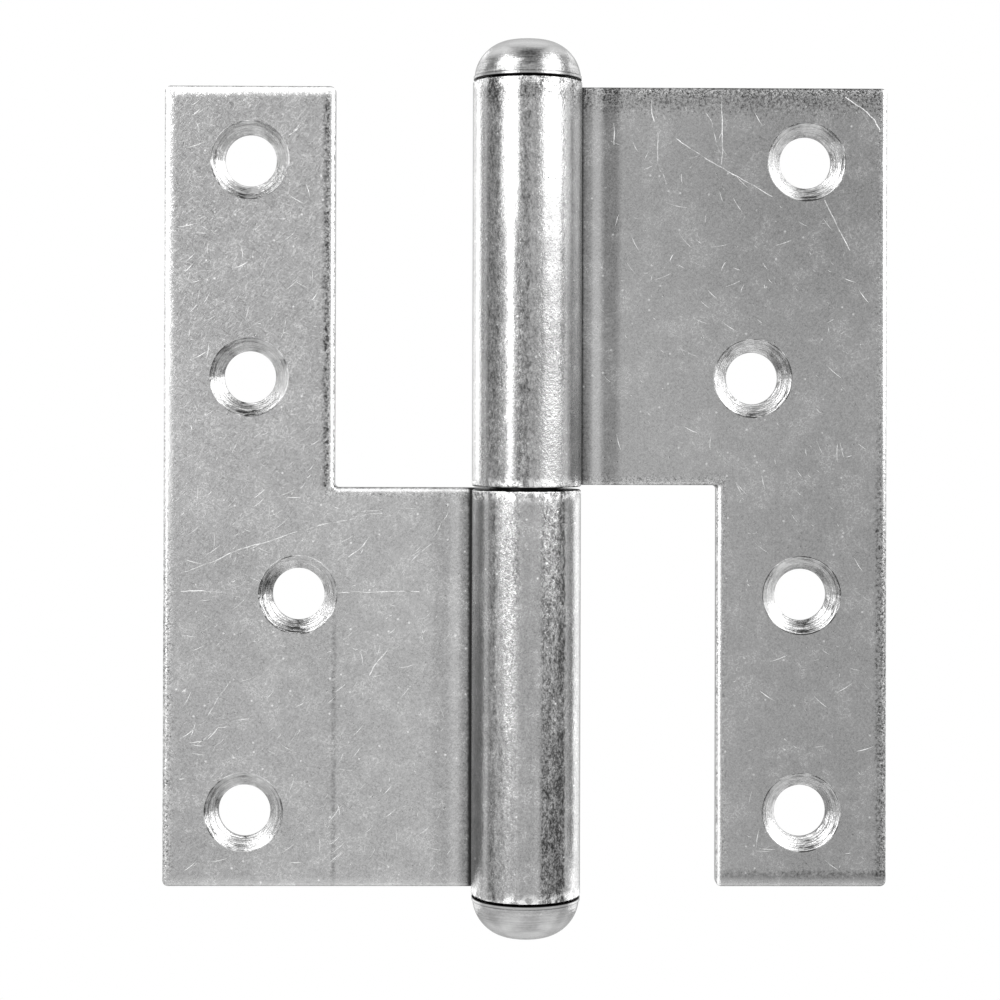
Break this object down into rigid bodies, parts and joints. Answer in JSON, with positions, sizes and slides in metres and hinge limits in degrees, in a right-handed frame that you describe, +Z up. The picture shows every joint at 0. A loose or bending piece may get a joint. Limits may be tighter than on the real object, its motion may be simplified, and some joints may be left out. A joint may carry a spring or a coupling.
{
  "type": "lift-off hinge",
  "caption": "Flat lift-off hinge: L-shaped leaves with rolled knuckles on a fixed upright pin, countersunk screw holes and domed end knobs.",
  "frame": {"origin": "on the pin's axis, midway between the meeting ends of the knuckles", "axes": "+Z up along the pin, the way the door leaf lifts; +X towards the door leaf and +Y towards the leaves' backs, with the leaves open flat"},
  "size_m": [0.1, 0.0148, 0.1222],
  "materials": {
    "leaf_zinc": "bright zinc plate over cold-rolled sheet, finely speckled and lightly scratched",
    "knob_zinc": "bright zinc plate over turned steel",
    "pin_steel": "drawn bright steel, lightly oiled",
    "ball_steel": "hardened and polished"
  },
  "bodies": {
    "frame_side": {"frame_leaf": "leaf_zinc", "hinge_pin": "pin_steel", "bottom_knob": "knob_zinc"},
    "bearing": {"bearing_ball": "ball_steel"},
    "door_side": {"door_leaf": "leaf_zinc", "top_knob": "knob_zinc"}
  },
  "joints": [
    {"name": "lift_off", "type": "slide", "parent": "frame_side", "child": "bearing", "axis": [0, 0, 1], "range_m": [0, 0.055]},
    {"name": "swing", "type": "hinge", "parent": "bearing", "child": "door_side", "pos_m": [0, 0, 0], "axis": [0, 0, 1], "range_deg": [-190, 147]}
  ]
}
